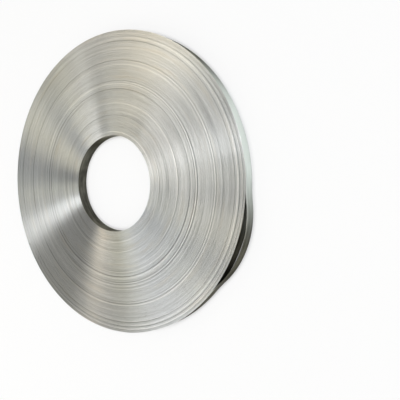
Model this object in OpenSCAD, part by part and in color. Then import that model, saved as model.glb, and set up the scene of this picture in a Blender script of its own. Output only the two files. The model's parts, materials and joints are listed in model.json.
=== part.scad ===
// Coil of slit steel strip, lying on one end with its bore upright.
// The wound turns are one turned body. The last turn stands off them in a loose bow and ends in a tail.
// Directions are in degrees from +X, counter-clockwise as the upper end is seen.

/* [Strip] */
// Width of the slit strip
strip_w = 60; // [30:1:200]
// Thickness of the strip, which is also the pitch of the turns
strip_t = 1.5; // [1:0.1:3]

/* [Coil] */
// Diameter of the bore
bore_d = 508; // [400:1:610]
// Diameter over the tight turns
coil_d = 1576; // [1200:1:2000]

/* [Rings on the ends] */
// Turns that lie level with each other and show as one ring
ring_turns = 4; // [3:1:8]
// Most that a ring stands up or down from its neighbours
edge_play = 0.6; // [0.1:0.1:1]
// Width of the groove along the rounded edges of two rings
groove_w = 1.2; // [0.4:0.1:2]
// Depth of that groove
groove_depth = 0.8; // [0.2:0.1:1.5]
// Width of the open gap between slack turns
gap_w = 2.4; // [0.4:0.1:3]
// Depth to which an open gap shows
gap_depth = 9; // [2:1:15]

/* [Loose last turn] */
// How far the last two turns stand up
outer_turns_up = 1; // [0.5:0.1:3]
// Direction of the middle of the bow
bow_angle = 248; // [230:1:270]
// Height of the bow over the tight turns
bow_rise = 29; // [15:1:50]
// Outer radius of the bow
bow_r = 450; // [350:10:550]
// Radius of the hollow bends between the bow and the tight turns
bend_r = 650; // [400:10:900]
// Direction of the cut tail of the strip
tail_angle = 205; // [180:1:220]
// Arc over which the turn below rises to the full diameter past the tail
tail_ramp = 20; // [15:1:30]

/* [Strip head in the bore] */
// Direction of the cut head of the strip
head_angle = 321; // [0:1:360]
// Arc over which the second turn comes in to the bore past the head
head_ramp = 40; // [25:1:60]

/* [Hidden] */
$fn = 180;

coil_r = coil_d / 2;
bore_r = bore_d / 2;
// The outside of the turn under the last one
under_r = coil_r - strip_t;
// The turned body ends two turns short of the outside
body_r = coil_r - 2 * strip_t;
// Each of the outer turns reaches this far into the turn below, so that they are one piece
root = strip_t / 2;
// The bow, its bends and the tight turns run into each other over this arc, so that they are one piece
join_arc = 1;
// A cut runs this far past the end of its ramp
spare_arc = 1;
steel = [0.72, 0.72, 0.70];

// Turns at which the strip moved sideways in winding, and how far it stands up from there on
shifts = [
    [0, 0], [32, 0.9], [40, 0.4], [64, 1.2], [76, 0.5], [116, 0], [148, 0.8], [160, 1.6],
    [180, 1.0], [188, 0.3], [216, 0], [256, 1.1], [280, 0.4], [320, 1.3], [336, 0.6], [348, 0]
];
// Turns that lie slack, with an open gap under them
slack_turns = [160, 180, 188, 256, 320, 336];

ring_pitch = ring_turns * strip_t;
ring_count = floor((body_r - bore_r) / ring_pitch);

// Inner radius of ring number k, with the turns that are left over in the last ring
function ring_r(k) = k < ring_count ? bore_r + k * ring_pitch : body_r;

// How far ring number k stands up: its shift, and a play that differs from ring to ring
function ring_shift(k) = [for (s = shifts) if (s[0] <= k * ring_turns) s[1]];
function last_of(list) = list[len(list) - 1];
play_steps = 5;
play_stride = 3;
function ring_play(k) = edge_play * ((play_stride * k) % play_steps) / (play_steps - 1);
function ring_up(k) = last_of(ring_shift(k)) + ring_play(k);

// A groove between ring k - 1 and ring k is an open gap where the turns there are slack
function is_slack(k) = len([for (n = slack_turns) if (floor(n / ring_turns) == k) n]) > 0;
function half_groove(k) = (is_slack(k) ? gap_w : groove_w) / 2;
function groove_bottom(k) = is_slack(k) ? gap_depth : groove_depth;

// The lower edge of the winding from the bore outwards, then the upper edge back to the bore
lower_edge = [
    for (k = [0 : ring_count - 1]) each [
        if (k > 0) [ring_r(k), max(ring_up(k - 1), ring_up(k)) + groove_bottom(k)],
        [ring_r(k) + (k > 0 ? half_groove(k) : 0), ring_up(k)],
        [ring_r(k + 1) - (k < ring_count - 1 ? half_groove(k + 1) : 0), ring_up(k)]
    ]
];
upper_edge = [
    for (k = [ring_count - 1 : -1 : 0]) each [
        [ring_r(k + 1) - (k < ring_count - 1 ? half_groove(k + 1) : 0), strip_w + ring_up(k)],
        [ring_r(k) + (k > 0 ? half_groove(k) : 0), strip_w + ring_up(k)],
        if (k > 0) [ring_r(k), strip_w + min(ring_up(k - 1), ring_up(k)) - groove_bottom(k)]
    ]
];
highest_ring = max([for (k = [0 : ring_count - 1]) ring_up(k)]);
coil_h = strip_w + max(highest_ring, outer_turns_up);

// The bow is an arc about bow_centre, and the hollow bends are arcs that touch it and the tight turns
bow_offset = coil_r + bow_rise - bow_r;
bend_reach = coil_r + bend_r;
bend_angle = acos((bend_reach ^ 2 + bow_offset ^ 2 - (bow_r + bend_r) ^ 2) / (2 * bow_offset * bend_reach));
bow_centre = [bow_offset, 0];
bend_centre = bend_reach * [cos(bend_angle), sin(bend_angle)];
// Directions from a bend's centre to the coil's centre and to the bow's, and from the bow's to the bend's
bend_from = atan2(-bend_centre[1], -bend_centre[0]);
bend_to = atan2(-bend_centre[1], bow_offset - bend_centre[0]);
bow_half = atan2(bend_centre[1], bend_centre[0] - bow_offset);

// A wedge of the plane between two directions, longer than anything that it cuts
module wedge(from, to) {
    reach = 2 * coil_d;
    polygon([[0, 0], reach * [cos(from), sin(from)], reach * [cos(to), sin(to)]]);
}

// A round turn, seen from its end
module turn(outer_r, inner_r) {
    difference() {
        circle(r = outer_r);
        circle(r = inner_r);
    }
}

// A stretch of strip bent to an outer radius, between two directions from its centre
module bent_strip(outer_r, from, to) {
    intersection() {
        turn(outer_r, outer_r - strip_t);
        wedge(from, to);
    }
}

// The bow and the bends at its two ends, about the bow's own middle
module bow() {
    translate(bow_centre)
        bent_strip(bow_r, -bow_half - join_arc, bow_half + join_arc);
    for (side = [0, 1])
        mirror([0, side])
            translate(bend_centre)
                bent_strip(bend_r + strip_t, bend_from, bend_to);
}

// How far a ramp's circle differs in radius from the circle that it leaves by one thickness
function ramp_ease(arc) = strip_t * cos(arc) / (1 - cos(arc));

// Room past the tail, where the turn below shows until it rises to the full diameter
module tail_room() {
    ease = ramp_ease(tail_ramp);
    difference() {
        wedge(tail_angle - tail_ramp - spare_arc, tail_angle);
        rotate(tail_angle)
            translate([-strip_t - ease, 0])
                circle(r = coil_r + ease);
    }
}

// Room behind the head, where the second turn shows until it comes in to the bore
module head_room() {
    ease = ramp_ease(head_ramp);
    intersection() {
        wedge(head_angle, head_angle + head_ramp + spare_arc);
        rotate(head_angle)
            translate([strip_t + ease, 0])
                circle(r = bore_r - ease);
    }
}

// The last two turns: the lower one tight all round, and the last one with its bow and its tail
module outer_turns() {
    translate([0, 0, outer_turns_up])
        linear_extrude(strip_w)
            difference() {
                union() {
                    turn(under_r, body_r - root);
                    difference() {
                        turn(coil_r, under_r - root);
                        rotate(bow_angle)
                            wedge(join_arc - bend_angle, bend_angle - join_arc);
                    }
                    rotate(bow_angle)
                        bow();
                }
                tail_room();
            }
}

// The tight turns, with the rings on both ends and the head of the strip in the bore
module winding() {
    difference() {
        rotate_extrude()
            polygon(concat(lower_edge, upper_edge));
        linear_extrude(2 * coil_h, center = true)
            head_room();
    }
}

module strip_coil() {
    color(steel) {
        winding();
        outer_turns();
    }
}

strip_coil();
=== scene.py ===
# A coil of slit steel strip lying on one end: every turn of the winding, the loose last turn and the finish.
import json
import math
import random
import bmesh
import bpy
from mathutils import Matrix, Vector


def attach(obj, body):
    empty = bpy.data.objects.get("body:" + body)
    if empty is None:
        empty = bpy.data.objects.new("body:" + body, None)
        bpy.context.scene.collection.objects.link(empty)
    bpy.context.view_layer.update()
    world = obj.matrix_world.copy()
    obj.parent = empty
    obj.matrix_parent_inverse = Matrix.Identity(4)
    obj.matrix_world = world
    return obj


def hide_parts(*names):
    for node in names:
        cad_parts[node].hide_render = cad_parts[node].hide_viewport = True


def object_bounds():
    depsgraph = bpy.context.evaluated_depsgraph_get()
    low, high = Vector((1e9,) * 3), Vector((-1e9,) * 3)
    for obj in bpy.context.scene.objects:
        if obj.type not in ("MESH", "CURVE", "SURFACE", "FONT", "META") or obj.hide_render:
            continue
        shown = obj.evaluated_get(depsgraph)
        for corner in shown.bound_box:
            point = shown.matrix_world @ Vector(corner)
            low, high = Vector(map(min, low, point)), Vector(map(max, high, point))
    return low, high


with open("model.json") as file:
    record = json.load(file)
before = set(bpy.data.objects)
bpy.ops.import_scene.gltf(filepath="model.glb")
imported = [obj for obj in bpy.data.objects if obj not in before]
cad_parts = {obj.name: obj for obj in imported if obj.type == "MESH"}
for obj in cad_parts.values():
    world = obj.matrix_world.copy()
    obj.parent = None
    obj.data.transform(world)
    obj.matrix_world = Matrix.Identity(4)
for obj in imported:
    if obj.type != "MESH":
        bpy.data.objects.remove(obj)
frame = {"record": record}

cad_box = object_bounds()

MM = 0.001
AXIS = Vector((0, 0, 1))
CENTRE = Vector((0, 0, 0))

# Sizes of the coil, from the frame where it has them
bore_mount = next(mount for mount in frame["record"]["mounts"] if mount["name"] == "bore")
BORE_R = bore_mount["dims"]["r_mm"] * MM
STRIP_W = bore_mount["dims"]["length_mm"] * MM
COIL_R = cad_box[1][0]
STRIP_T = 1.5 * MM
TURNS = round((COIL_R - BORE_R) / STRIP_T)

# The strip's head lies in the bore and its tail on the outside, each on two turns made by themselves:
# the directions of the cut ends, and the arcs of the ramps on which the next turn shifts by one thickness
END_TURNS = 2
TAIL_AT = math.radians(205)
TAIL_RAMP = math.radians(20)
HEAD_AT = math.radians(321)
HEAD_RAMP = math.radians(40)
# How far the two outer turns stand up
OUTER_TURNS_UP = 1.0 * MM

# The loose bow of the last turn: its direction, how far it stands off, its radius and that of its two bends
BOW_AT = math.radians(248)
BOW_RISE = 29 * MM
BOW_R = 450 * MM
BEND_R = 650 * MM

# Where the strip moved sideways in winding: the turn, and how far in mm the turns stand up from there on
SHIFTS = (
    (0, 0.0), (32, 0.9), (40, 0.4), (64, 1.2), (76, 0.5), (116, 0.0), (148, 0.8), (160, 1.6),
    (180, 1.0), (188, 0.3), (216, 0.0), (256, 1.1), (280, 0.4), (320, 1.3), (336, 0.6), (348, 0.0),
)
# Open gaps under slack turns: the turn, the widest opening in mm, and the direction in degrees where it is
GAPS = (
    (32, 1.0, 260), (40, 0.6, 330), (51, 0.7, 305), (64, 0.6, 200), (70, 1.2, 15), (76, 0.4, 20),
    (116, 0.6, 230), (148, 0.6, 140), (160, 2.2, 235), (180, 1.3, 215), (188, 1.8, 120), (202, 0.6, 300),
    (216, 0.6, 150), (248, 0.7, 240), (256, 1.4, 265), (270, 0.5, 300), (280, 0.5, 180), (290, 0.5, 60),
    (320, 1.3, 265), (336, 1.6, 165), (348, 1.1, 140),
)
GAP_DEPTH = 9 * MM
# The least opening of a gap, as a share of its widest
GAP_LEAST = 0.4

# Rings of turns painted brighter, painted highlights where their edges catch the light: the first turn, the
# number of turns, the strength from 0 to 1, and the direction in degrees where the painted highlight shows
# most
HIGHLIGHT_RINGS = (
    (11, 4, 0.7, 320), (37, 3, 0.5, 240), (52, 2, 0.3, 60), (71, 3, 0.7, 145), (80, 4, 0.3, 285),
    (110, 4, 0.6, 300), (129, 3, 0.4, 240), (144, 3, 0.5, 210), (164, 5, 0.5, 210), (175, 4, 0.5, 15),
    (182, 3, 0.8, 270), (193, 3, 0.5, 215), (204, 3, 0.4, 165), (228, 3, 0.4, 100), (240, 3, 0.5, 350),
    (250, 4, 0.6, 265), (260, 3, 0.8, 200), (284, 3, 0.4, 120), (297, 3, 0.3, 60), (316, 3, 0.4, 170),
    (327, 5, 0.7, 258), (342, 3, 0.6, 200),
)
# A slit edge: rolled over on its inner corner, with a fine groove to the next turn
ROLL_OVER = 0.07 * MM
GROOVE_W = 0.20 * MM
GROOVE_DEPTH = 0.40 * MM
# How far single turns stand up, and how far a stretch between two shifts lies skew
PLAY = 0.20 * MM
SKEW = 0.30 * MM
PLAY_SEED = 7

# Slopes: how far the slit edges lean inwards, and how far turns, rings and stretches differ from that
EDGE_LEAN = 0.15
TURN_LEAN = 0.09
RING_LEAN = 0.02
STRETCH_LEAN = 0.015

# A painted reflection, a stretch on the outside painted paler where it mirrors bright light: the direction of
# its middle, the arcs to either side where it is full and where it shows at all, the power by which it fades
# between them, and how far the streaks shift it
REFLECTION_AT = math.radians(285)
REFLECTION_FULL_ARC = math.radians(11)
REFLECTION_ARC = math.radians(38)
REFLECTION_FADE = 2
REFLECTION_UNEVEN = 0.08
# The radius from which a face is on the outside of the coil
OUTSIDE_R = COIL_R - 3 * STRIP_T
# Painted shade on the edge of the loose bow, painted darker where it lies in shade: the direction where it is
# darkest, the arc to either side where it begins, the cosine of the arc where it is full, and how far off the
# coil it is full
SHADED_EDGE_AT = math.radians(242)
SHADED_EDGE_ARC = math.radians(14)
SHADED_EDGE_FULL = 0.99
SHADED_EDGE_RISE = 0.3 * BOW_RISE

# Flats in a full circle, of the winding and of the strip's ends, and the least number in an arc of the strip
TURN_STEPS = 128
STRIP_STEPS = 360
LEAST_STEPS = 2
# Points closer than this are one point
MERGE_DISTANCE = 0.001 * MM
# Faces that look up or down by more than this share are slit edges
LEVEL_SHARE = 0.5
# Faces that meet at more than this angle meet in a sharp edge
SHARP_ANGLE = math.radians(25)


def new_piece(name, shape, materials):
    """Makes an object of a bmesh: slit edges get the first material, the strip's faces the second."""
    for face in shape.faces:
        face.material_index = 0 if abs(face.normal.z) > LEVEL_SHARE else 1
    mesh = bpy.data.meshes.new(name)
    shape.to_mesh(mesh)
    shape.free()
    mesh.shade_smooth()
    mesh.set_sharp_from_angle(angle=SHARP_ANGLE)
    for material in materials:
        mesh.materials.append(material)
    piece = bpy.data.objects.new(name, mesh)
    bpy.context.scene.collection.objects.link(piece)
    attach(piece, "root")
    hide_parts("strip_coil")


def at(radius, direction):
    """The point on the floor at a radius and in a direction from the axis."""
    return Vector((radius * math.cos(direction), radius * math.sin(direction), 0))


def share_towards(middle, direction):
    """A share that is 1 in the direction of the middle and falls to 0 on the far side of the coil."""
    return 0.5 + 0.5 * math.cos(direction - middle)


# The winding

def stretch_of(turn):
    """Number of the stretch between two shifts that a turn belongs to."""
    return sum(shift[0] <= turn for shift in SHIFTS) - 1


def shift_up(turn):
    """How far a turn stands up because the strip moved sideways in winding."""
    return SHIFTS[stretch_of(turn)][1] * MM


def gap_before(turn):
    """The open gap between a turn and the one before it, if there is one."""
    return next((gap for gap in GAPS if gap[0] == turn), None)


def half_opening(turn, direction=None):
    """Half the opening between a turn and the one before it, at its widest or in one direction."""
    gap = gap_before(turn)
    if gap is None:
        return GROOVE_W / 2
    widest, widest_at = gap[1:]
    swell = 1 if direction is None else share_towards(math.radians(widest_at), direction)
    return widest * MM / 2 * (GAP_LEAST + (1 - GAP_LEAST) * swell)


def end_profile(first, last, levels):
    """Points along an end, from the inner turn outwards: radius, levels of its turns, depth, turn and side.

    The side is 1 on a turn's inner corner, -1 on its outer corner and 0 at the bottom of an opening.
    """
    points = []
    for turn in range(first, last):
        inner = BORE_R + turn * STRIP_T
        outer = inner + STRIP_T
        if turn > first:
            depth = GAP_DEPTH if gap_before(turn) else GROOVE_DEPTH
            points.append((inner, (levels[turn - 1], levels[turn]), depth, turn, 0))
        in_from_groove = half_opening(turn) if turn > first else 0
        out_to_groove = half_opening(turn + 1) if turn + 1 < last else 0
        points.append((inner + in_from_groove, (levels[turn],), ROLL_OVER, turn, 1))
        points.append((outer - out_to_groove, (levels[turn],), 0, turn, -1))
    return points


def brightness(turn, direction):
    """How bright a turn's edge is painted in one direction, as a painted highlight."""
    return max([
        highlight_amount * share_towards(math.radians(brightest_at), direction) ** 2
        for first, count, highlight_amount, brightest_at in HIGHLIGHT_RINGS if first <= turn < first + count] or [0])


def settle(ring, turn_layer, side_layer, skew_directions):
    """Lets each stretch of turns lie a little skew, and the open gaps swell on one side of the coil."""
    bright_layer = ring.verts.layers.float.new("bright")
    for vert in ring.verts:
        direction = math.atan2(vert.co.y, vert.co.x)
        turn, side = vert[turn_layer], vert[side_layer]
        # Painted highlight: how bright each turn's edge is painted in this direction
        vert[bright_layer] = brightness(turn, direction)
        vert.co.z += SKEW * share_towards(skew_directions[stretch_of(turn)], direction)
        beside = turn if side > 0 else turn + 1
        if side and gap_before(beside):
            radius = vert.co.xy.length
            narrower = half_opening(beside) - half_opening(beside, direction)
            vert.co.xy *= (radius - side * narrower) / radius


def wound_turns(name, first, last, levels, skew_directions, materials):
    """Turns first to last as one ring, turned from a profile with the edges of all its turns."""
    ring = bmesh.new()
    turn_layer = ring.verts.layers.int.new("turn")
    side_layer = ring.verts.layers.int.new("side")
    profile = end_profile(first, last, levels)
    lower = [(r, max(ups) + depth, turn, side) for r, ups, depth, turn, side in profile]
    upper = [(r, STRIP_W + min(ups) - depth, turn, side) for r, ups, depth, turn, side in profile]
    outline = []
    for radius, height, turn, side in lower + upper[::-1]:
        vert = ring.verts.new((radius, 0, height))
        vert[turn_layer] = turn
        vert[side_layer] = side
        outline.append(vert)
    edges = [ring.edges.new((a, b)) for a, b in zip(outline, outline[1:] + outline[:1])]
    bmesh.ops.spin(
        ring, geom=outline + edges, cent=CENTRE, axis=AXIS, steps=TURN_STEPS, angle=math.tau, use_merge=True)
    bmesh.ops.remove_doubles(ring, verts=ring.verts, dist=MERGE_DISTANCE)
    settle(ring, turn_layer, side_layer, skew_directions)
    bmesh.ops.recalc_face_normals(ring, faces=ring.faces)
    new_piece(name, ring, materials)


# The strip's two ends

def strip_run(name, start, stretches, side, up, materials):
    """A stretch of strip swept along arcs from a start point: each arc has a centre and an angle.

    The side is 1 where the strip's thickness lies inside the arcs, and -1 where it lies outside them.
    """
    strip = bmesh.new()
    foot = strip.verts.new(start + Vector((0, 0, up)))
    top = strip.verts.new(start + Vector((0, 0, up + STRIP_W)))
    last = [foot, top, strip.edges.new((foot, top))]
    for centre, angle in stretches:
        steps = max(LEAST_STEPS, math.ceil(abs(angle) / math.tau * STRIP_STEPS))
        run = bmesh.ops.spin(strip, geom=last, cent=centre, axis=AXIS, steps=steps, angle=angle)
        last = run["geom_last"]
    bmesh.ops.recalc_face_normals(strip, faces=strip.faces)
    bmesh.ops.solidify(strip, geom=strip.faces[:], thickness=side * STRIP_T)
    bmesh.ops.recalc_face_normals(strip, faces=strip.faces)
    new_piece(name, strip, materials)


def ramp_ease(arc):
    """How far a ramp's radius differs from that of its turn, for a shift by one thickness over the arc."""
    return STRIP_T * math.cos(arc) / (1 - math.cos(arc))


def last_turn(materials):
    """The two outer turns, from the tail inwards: the bow between its bends, then the ramp under the tail."""
    bow_offset = COIL_R + BOW_RISE - BOW_R
    bend_reach = COIL_R + BEND_R
    bend_angle = math.acos(
        (bend_reach ** 2 + bow_offset ** 2 - (BOW_R + BEND_R) ** 2) / (2 * bow_offset * bend_reach))
    bend_first = at(bend_reach, BOW_AT - bend_angle)
    bend_second = at(bend_reach, BOW_AT + bend_angle)
    bow_half = math.atan2(
        bend_reach * math.sin(bend_angle), bend_reach * math.cos(bend_angle) - bow_offset)
    bend_turn = bow_half - bend_angle
    ease = ramp_ease(TAIL_RAMP)
    ramp_centre = at(-STRIP_T - ease, TAIL_AT)
    ramp_turn = math.asin(COIL_R * math.sin(TAIL_RAMP) / (COIL_R + ease))
    stretches = (
        (CENTRE, BOW_AT - bend_angle - TAIL_AT),
        (bend_first, -bend_turn),
        (at(bow_offset, BOW_AT), 2 * bow_half),
        (bend_second, -bend_turn),
        (CENTRE, TAIL_AT - TAIL_RAMP + math.tau - BOW_AT - bend_angle),
        (ramp_centre, ramp_turn),
        (CENTRE, math.tau - TAIL_RAMP),
    )
    strip_run(
        "last_turn", at(COIL_R, TAIL_AT), stretches, side=1, up=OUTER_TURNS_UP, materials=materials)


def first_turn(materials):
    """The two inner turns, from the head outwards: once round the bore, then the ramp over the head."""
    ease = ramp_ease(HEAD_RAMP)
    ramp_centre = at(STRIP_T + ease, HEAD_AT)
    ramp_turn = math.asin(BORE_R * math.sin(HEAD_RAMP) / (BORE_R - ease))
    stretches = (
        (CENTRE, HEAD_RAMP - math.tau),
        (ramp_centre, -ramp_turn),
        (CENTRE, HEAD_RAMP - math.tau),
    )
    strip_run("first_turn", at(BORE_R, HEAD_AT), stretches, side=-1, up=0, materials=materials)


# Finishes

# Most values of a noise pattern lie between these
NOISE_LOW = 0.3
NOISE_HIGH = 0.7
# Stains on the slit edges: the values of their pattern where they begin and are full, and the share they take
STAIN_BEGINS = 0.55
STAIN_FULL = 0.8
STAIN_SHARE = 0.35
# The oil film: the sums of its two patterns where it is thickest and thinnest, and the roughness there
FILM_THICK = 0.8
FILM_THIN = 1.2
THICK_ROUGHNESS = 0.42
THIN_ROUGHNESS = 0.28
PATCH_W = 140 * MM
# The floor's shadow: how far it reaches, its samples, the shares of open sky where it is full and where it
# ends, and the share of its own light that the floor shows outside it
SHADOW_REACH = 0.7 * STRIP_W
SHADOW_SAMPLES = 16
SHADOW_FULL = 0.35
SHADOW_ENDS = 0.75
FLOOR_OWN_LIGHT = 0.85


def linear(colour):
    """An sRGB hex colour as linear red, green, blue and alpha."""
    values = [int(colour[i:i + 2], 16) / 255 for i in (1, 3, 5)]
    return [v / 12.92 if v <= 0.04045 else ((v + 0.055) / 1.055) ** 2.4 for v in values] + [1]


def add_node(tree, kind, inputs=None, **settings):
    """Adds a node with its settings, and gives its inputs values or links from other nodes' outputs."""
    node = tree.nodes.new("ShaderNode" + kind)
    for name, value in settings.items():
        setattr(node, name, value)
    for socket, value in (inputs or {}).items():
        if isinstance(value, bpy.types.NodeSocket):
            tree.links.new(value, node.inputs[socket])
        else:
            node.inputs[socket].default_value = value
    return node


def new_material(name):
    """A material and its node tree, which is still empty."""
    material = bpy.data.materials.new(name)
    material.use_nodes = True
    material.node_tree.nodes.clear()
    return material, material.node_tree


def place_in_winding(tree):
    """A point's place in the coil: its coordinates, the direction outwards from the axis and its radius."""
    place = add_node(tree, "TexCoord").outputs["Object"]
    flat = add_node(tree, "VectorMath", {0: place, 1: (1, 1, 0)}, operation="MULTIPLY").outputs["Vector"]
    outwards = add_node(tree, "VectorMath", {0: flat}, operation="NORMALIZE").outputs["Vector"]
    radius = add_node(tree, "VectorMath", {0: flat}, operation="LENGTH").outputs["Value"]
    return place, outwards, radius


def bands_along_strip(tree, outwards, across, width, changes, detail):
    """Soft bands along the strip: their width in metres, and how often they change round the coil."""
    count = add_node(tree, "Math", {0: across, 1: 1 / width}, operation="MULTIPLY").outputs[0]
    level = add_node(tree, "CombineXYZ", {"Z": count}).outputs[0]
    point = add_node(tree, "VectorMath", {
        0: outwards, 1: (changes, changes, 0), 2: level}, operation="MULTIPLY_ADD").outputs[0]
    noise = add_node(tree, "TexNoise", {"Vector": point, "Scale": 1, "Detail": detail, "Roughness": 0.6})
    return noise.outputs[0]


def slit_edge_steel():
    """Slit edges of mild steel strip: sheared metal, with highlights drawn out across the turns into fans.

    Each edge is rolled over on one corner, so it leans inwards, a little more or less from turn to turn.
    A turn is nearly too fine to show, so rings of several turns and whole stretches differ as well.
    """
    material, tree = new_material("slit_edge_steel")
    outwards, radius = place_in_winding(tree)[1:]
    turns = bands_along_strip(tree, outwards, radius, width=STRIP_T, changes=1.5, detail=1)
    rings = bands_along_strip(tree, outwards, radius, width=9 * MM, changes=1.2, detail=2)
    stretches = bands_along_strip(tree, outwards, radius, width=45 * MM, changes=1.6, detail=1)
    lean = EDGE_LEAN
    for pattern, most in ((turns, TURN_LEAN), (rings, RING_LEAN), (stretches, STRETCH_LEAN)):
        change = add_node(tree, "MapRange", {
            "Value": pattern, "From Min": NOISE_LOW, "From Max": NOISE_HIGH, "To Min": -most, "To Max": most})
        lean = add_node(tree, "Math", {0: lean, 1: change.outputs[0]}, operation="ADD").outputs[0]
    inwards = add_node(tree, "Math", {0: lean, 1: -1}, operation="MULTIPLY").outputs[0]
    normal = add_node(tree, "NewGeometry").outputs["Normal"]
    leaning = add_node(tree, "VectorMath", {0: outwards, 1: inwards, 2: normal}, operation="MULTIPLY_ADD")
    leaning = add_node(tree, "VectorMath", {0: leaning.outputs[0]}, operation="NORMALIZE")

    # Grey metal that is lighter and darker from ring to ring
    fine_rings = bands_along_strip(tree, outwards, radius, width=7 * MM, changes=1.5, detail=3)
    lightness = add_node(tree, "MapRange", {
        "Value": fine_rings, "From Min": NOISE_LOW, "From Max": NOISE_HIGH})
    tone = add_node(tree, "Mix", {
        "Factor": lightness.outputs[0], "A": linear("#BABBBA"), "B": linear("#D6D7D7")}, data_type="RGBA")

    # Straw-coloured stains, then painted highlights on the bright rings, then painted shade on the bow's edge
    stains = bands_along_strip(tree, outwards, radius, width=30 * MM, changes=2, detail=2)
    stained = add_node(tree, "MapRange", {
        "Value": stains, "From Min": STAIN_BEGINS, "From Max": STAIN_FULL, "To Max": STAIN_SHARE})
    # Painted highlight: the brightness painted on the rings of turns in the winding
    highlight_amount = add_node(tree, "Attribute", attribute_name="bright")
    # Painted shade: the edge of the loose bow is painted darker on one side of the coil
    on_bow = add_node(tree, "MapRange", {
        "Value": radius, "From Min": COIL_R, "From Max": COIL_R + SHADED_EDGE_RISE})
    near_shaded_edge = add_node(tree, "VectorMath", {0: outwards, 1: at(1, SHADED_EDGE_AT)}, operation="DOT_PRODUCT")
    near_shaded_edge = add_node(tree, "MapRange", {
        "Value": near_shaded_edge.outputs["Value"], "From Min": math.cos(SHADED_EDGE_ARC), "From Max": SHADED_EDGE_FULL})
    painted_shade = add_node(tree, "Math", {0: on_bow.outputs[0], 1: near_shaded_edge.outputs[0]}, operation="MULTIPLY")
    marks = (
        (stained.outputs[0], "#CFC5B4"),
        (highlight_amount.outputs["Fac"], "#F3F2EF"),
        (painted_shade.outputs[0], "#6A6860"),
    )
    for share, colour in marks:
        tone = add_node(tree, "Mix", {
            "Factor": share, "A": tone.outputs["Result"], "B": linear(colour)}, data_type="RGBA")
    shader = add_node(tree, "BsdfPrincipled", {
        "Base Color": tone.outputs["Result"], "Metallic": 1, "Roughness": 0.28, "Anisotropic": 1.0,
        "Tangent": outwards, "Normal": leaning.outputs[0]})
    add_node(tree, "OutputMaterial", {"Surface": shader.outputs["BSDF"]})
    return material


def rolled_face_steel():
    """Cold rolled face of the strip: a thin dark oil film over bright metal, streaked along the strip.

    On the outside of the coil one stretch is painted paler and a little green, a painted reflection of bright
    light.
    """
    material, tree = new_material("rolled_face_steel")
    place, outwards, radius = place_in_winding(tree)
    height = add_node(tree, "SeparateXYZ", {"Vector": place}).outputs["Z"]
    streaks = bands_along_strip(tree, outwards, height, width=14 * MM, changes=3, detail=3)
    patches = add_node(tree, "TexNoise", {
        "Vector": place, "Scale": 1 / PATCH_W, "Detail": 3, "Roughness": 0.55})
    film = add_node(tree, "Math", {0: streaks, 1: patches.outputs[0]}, operation="ADD")
    thinness = add_node(tree, "MapRange", {
        "Value": film.outputs[0], "From Min": FILM_THICK, "From Max": FILM_THIN})
    tone = add_node(tree, "Mix", {
        "Factor": thinness.outputs[0], "A": linear("#3A3934"), "B": linear("#6A6960")}, data_type="RGBA")

    # The painted reflection on the outside, with an uneven border where the streaks cross it
    towards = add_node(tree, "VectorMath", {0: outwards, 1: at(1, REFLECTION_AT)}, operation="DOT_PRODUCT")
    uneven = add_node(tree, "Math", {
        0: streaks, 1: REFLECTION_UNEVEN, 2: towards.outputs["Value"]}, operation="MULTIPLY_ADD")
    painted_reflection = add_node(tree, "MapRange", {
        "Value": uneven.outputs[0], "From Min": math.cos(REFLECTION_ARC) + REFLECTION_UNEVEN / 2,
        "From Max": math.cos(REFLECTION_FULL_ARC) + REFLECTION_UNEVEN / 2})
    painted_reflection = add_node(tree, "Math", {0: painted_reflection.outputs[0], 1: REFLECTION_FADE}, operation="POWER")
    outside = add_node(tree, "Math", {0: radius, 1: OUTSIDE_R}, operation="GREATER_THAN")
    painted_reflection = add_node(tree, "Math", {0: painted_reflection.outputs[0], 1: outside.outputs[0]}, operation="MULTIPLY")
    # Painted reflection: the stretch is painted paler, and its edge tint turns white
    tone = add_node(tree, "Mix", {
        "Factor": painted_reflection.outputs[0], "A": tone.outputs["Result"], "B": linear("#DCE4DE")}, data_type="RGBA")
    edge_tone = add_node(tree, "Mix", {
        "Factor": painted_reflection.outputs[0], "A": linear("#C4C2BA"), "B": linear("#FFFFFF")}, data_type="RGBA")
    roughness = add_node(tree, "MapRange", {
        "Value": thinness.outputs[0], "To Min": THICK_ROUGHNESS, "To Max": THIN_ROUGHNESS})
    shader = add_node(tree, "BsdfPrincipled", {
        "Base Color": tone.outputs["Result"], "Metallic": 1, "Roughness": roughness.outputs[0],
        "Specular Tint": edge_tone.outputs["Result"]})
    add_node(tree, "OutputMaterial", {"Surface": shader.outputs["BSDF"]})
    return material


def floor_paint():
    """Matt white floor: it shows nearly white, and keeps the shadow where the coil is close."""
    material, tree = new_material("white_floor")
    rays = add_node(tree, "LightPath").outputs
    seen = add_node(tree, "Math", {0: rays["Is Camera Ray"], 1: rays["Is Glossy Ray"]}, operation="MAXIMUM")
    seen = add_node(tree, "Math", {0: seen.outputs[0], 1: rays["Is Transmission Ray"]}, operation="MAXIMUM")
    open_sky = add_node(tree, "AmbientOcclusion", {"Distance": SHADOW_REACH}, samples=SHADOW_SAMPLES)
    clear = add_node(tree, "MapRange", {
        "Value": open_sky.outputs["AO"], "From Min": SHADOW_FULL, "From Max": SHADOW_ENDS,
        "To Max": FLOOR_OWN_LIGHT})
    share = add_node(tree, "Math", {0: seen.outputs[0], 1: clear.outputs[0]}, operation="MULTIPLY")
    paint = add_node(tree, "BsdfDiffuse", {"Color": linear("#F6F6F6")})
    glow = add_node(tree, "Emission", {"Color": linear("#FFFFFF"), "Strength": 1})
    mix = add_node(tree, "MixShader", {0: share.outputs[0], 1: paint.outputs[0], 2: glow.outputs[0]})
    add_node(tree, "OutputMaterial", {"Surface": mix.outputs[0]})
    return material


# The coil

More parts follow.
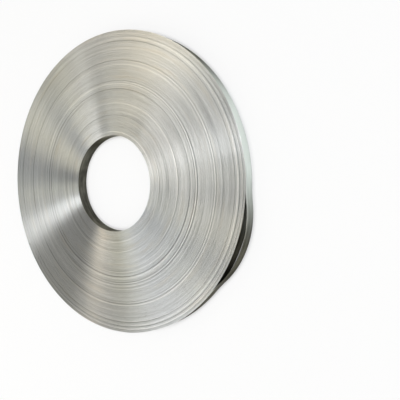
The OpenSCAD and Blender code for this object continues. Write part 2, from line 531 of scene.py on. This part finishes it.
finishes = [slit_edge_steel(), rolled_face_steel()]
draw = random.Random(PLAY_SEED)
winding_turns = TURNS - END_TURNS
levels = [shift_up(turn) + draw.uniform(0, PLAY) for turn in range(winding_turns)]
skew_directions = [draw.uniform(0, math.tau) for stretch in SHIFTS]
parts = ("inner_turns", "middle_turns", "outer_turns")
limits = [END_TURNS + (winding_turns - END_TURNS) * k // len(parts) for k in range(len(parts) + 1)]
for name, first, last in zip(parts, limits, limits[1:]):
    wound_turns(name, first, last, levels, skew_directions, finishes)
first_turn(finishes)
last_turn(finishes)

# The floor, a disc that rises all round in a cove

FLOOR_R = 8.0
FLOOR_STEPS = 96
COVE_R = 7.0
COVE_ARC = math.radians(88)
COVE_STEPS = 16

floor_mesh = bmesh.new()
floor_middle = floor_mesh.verts.new(CENTRE)
floor_edge = floor_mesh.verts.new((FLOOR_R, 0, 0))
floor_mesh.edges.new((floor_middle, floor_edge))
bmesh.ops.spin(
    floor_mesh, geom=[floor_edge], cent=(FLOOR_R, 0, COVE_R), axis=(0, -1, 0), steps=COVE_STEPS,
    angle=COVE_ARC)
bmesh.ops.spin(
    floor_mesh, geom=floor_mesh.verts[:] + floor_mesh.edges[:], cent=CENTRE, axis=AXIS, steps=FLOOR_STEPS,
    angle=math.tau, use_merge=True)
bmesh.ops.remove_doubles(floor_mesh, verts=floor_mesh.verts, dist=MM)
bmesh.ops.recalc_face_normals(floor_mesh, faces=floor_mesh.faces)
floor_data = bpy.data.meshes.new("floor")
floor_mesh.to_mesh(floor_data)
floor_mesh.free()
floor_data.shade_smooth()
floor_data.materials.append(floor_paint())
floor = bpy.data.objects.new("floor", floor_data)
bpy.context.scene.collection.objects.link(floor)

# Light

LAMP_DISTANCE = 6.0
ROOM_LIGHT = 0.2
# Soft lamps: in degrees the bearing from the near side, clockwise from above, the height and half the width
# as the coil sees it, then the radiance and the colour
LAMPS = (
    ("left_bank", 118, 30, 28, 1.3, "#FBFDFF"),
    ("left_top_panel", 100, 60, 10, 2.2, "#FFFFFF"),
    ("left_top_spot", 129, 74, 6, 4.5, "#FFF6D8"),
    ("far_left_spot", 145, 50, 4, 5.4, "#FFFCF8"),
    ("far_left_top_spot", 140, 57, 3, 6.6, "#FFF8E2"),
    ("far_left_bank", 163, 24, 20, 0.85, "#FFFBE6"),
    ("far_low_spot", 177, 11, 4, 7.2, "#FFF4EA"),
    ("far_spot", 171, 19, 4, 5.0, "#FFF5EC"),
    ("far_panel", 187, 35, 9, 1.3, "#F0F8FF"),
    ("far_glow", 195, 42, 6, 1.65, "#FFF6CA"),
    ("far_right_panel", 210, 48, 8, 1.6, "#FFF8EE"),
    ("far_right_spot", 207, 50, 3, 4.8, "#FFEAC6"),
    ("far_top_spot", 222, 77, 3, 16.0, "#FCFFFF"),
    ("over_far_spot", 198, 84, 3, 6.8, "#FFFDE2"),
    ("right_top_spot", 289, 71, 5, 6.5, "#FFFFFF"),
    ("right_top_panel", 296, 76, 7, 3.0, "#FFFFFF"),
    ("right_bank", 290, 30, 22, 0.5, "#FFFFFF"),
    ("near_right_bank", 340, 30, 22, 1.3, "#F2F8FF"),
    ("near_left_bank", 20, 30, 22, 1.2, "#FFFFFF"),
)


def soft_lamp(name, bearing, height, half_width, radiance, colour):
    """A round lamp that faces the coil, with the power that gives its disc this radiance."""
    data = bpy.data.lights.new(name, "AREA")
    data.shape = "DISK"
    data.size = 2 * LAMP_DISTANCE * math.tan(math.radians(half_width))
    data.color = linear(colour)[:3]
    data.energy = radiance * math.pi * math.pi * (data.size / 2) ** 2
    lamp = bpy.data.objects.new(name, data)
    around, above = math.radians(bearing), math.radians(height)
    towards = Vector((
        -math.sin(around) * math.cos(above), -math.cos(around) * math.cos(above), math.sin(above)))
    lamp.location = towards * LAMP_DISTANCE
    lamp.rotation_euler = towards.to_track_quat("Z", "Y").to_euler()
    lamp.visible_camera = False
    bpy.context.scene.collection.objects.link(lamp)


for lamp in LAMPS:
    soft_lamp(*lamp)

world = bpy.data.worlds.new("room")
world.use_nodes = True
world.node_tree.nodes["Background"].inputs["Color"].default_value = linear("#FFFFFF")
world.node_tree.nodes["Background"].inputs["Strength"].default_value = ROOM_LIGHT
bpy.context.scene.world = world

# The camera stands over the near side, turned so that the coil's +X side is up, with its lens in mm

EYE = Vector((0.0046, -1.7005, 1.8737))
LOOK_AT = Vector((-0.089, -0.5085, 0))
IMAGE_UP = Vector((1, 0, -0.05))
SENSOR_W = 36
LENS = 41.6

camera_data = bpy.data.cameras.new("camera")
camera_data.sensor_width = SENSOR_W
camera_data.lens = LENS
camera = bpy.data.objects.new("camera", camera_data)
back = (EYE - LOOK_AT).normalized()
right = IMAGE_UP.cross(back).normalized()
up = back.cross(right)
camera.matrix_world = Matrix.Translation(EYE) @ Matrix((right, up, back)).transposed().to_4x4()
bpy.context.scene.collection.objects.link(camera)
bpy.context.scene.camera = camera
bpy.context.scene.view_settings.view_transform = "Standard"
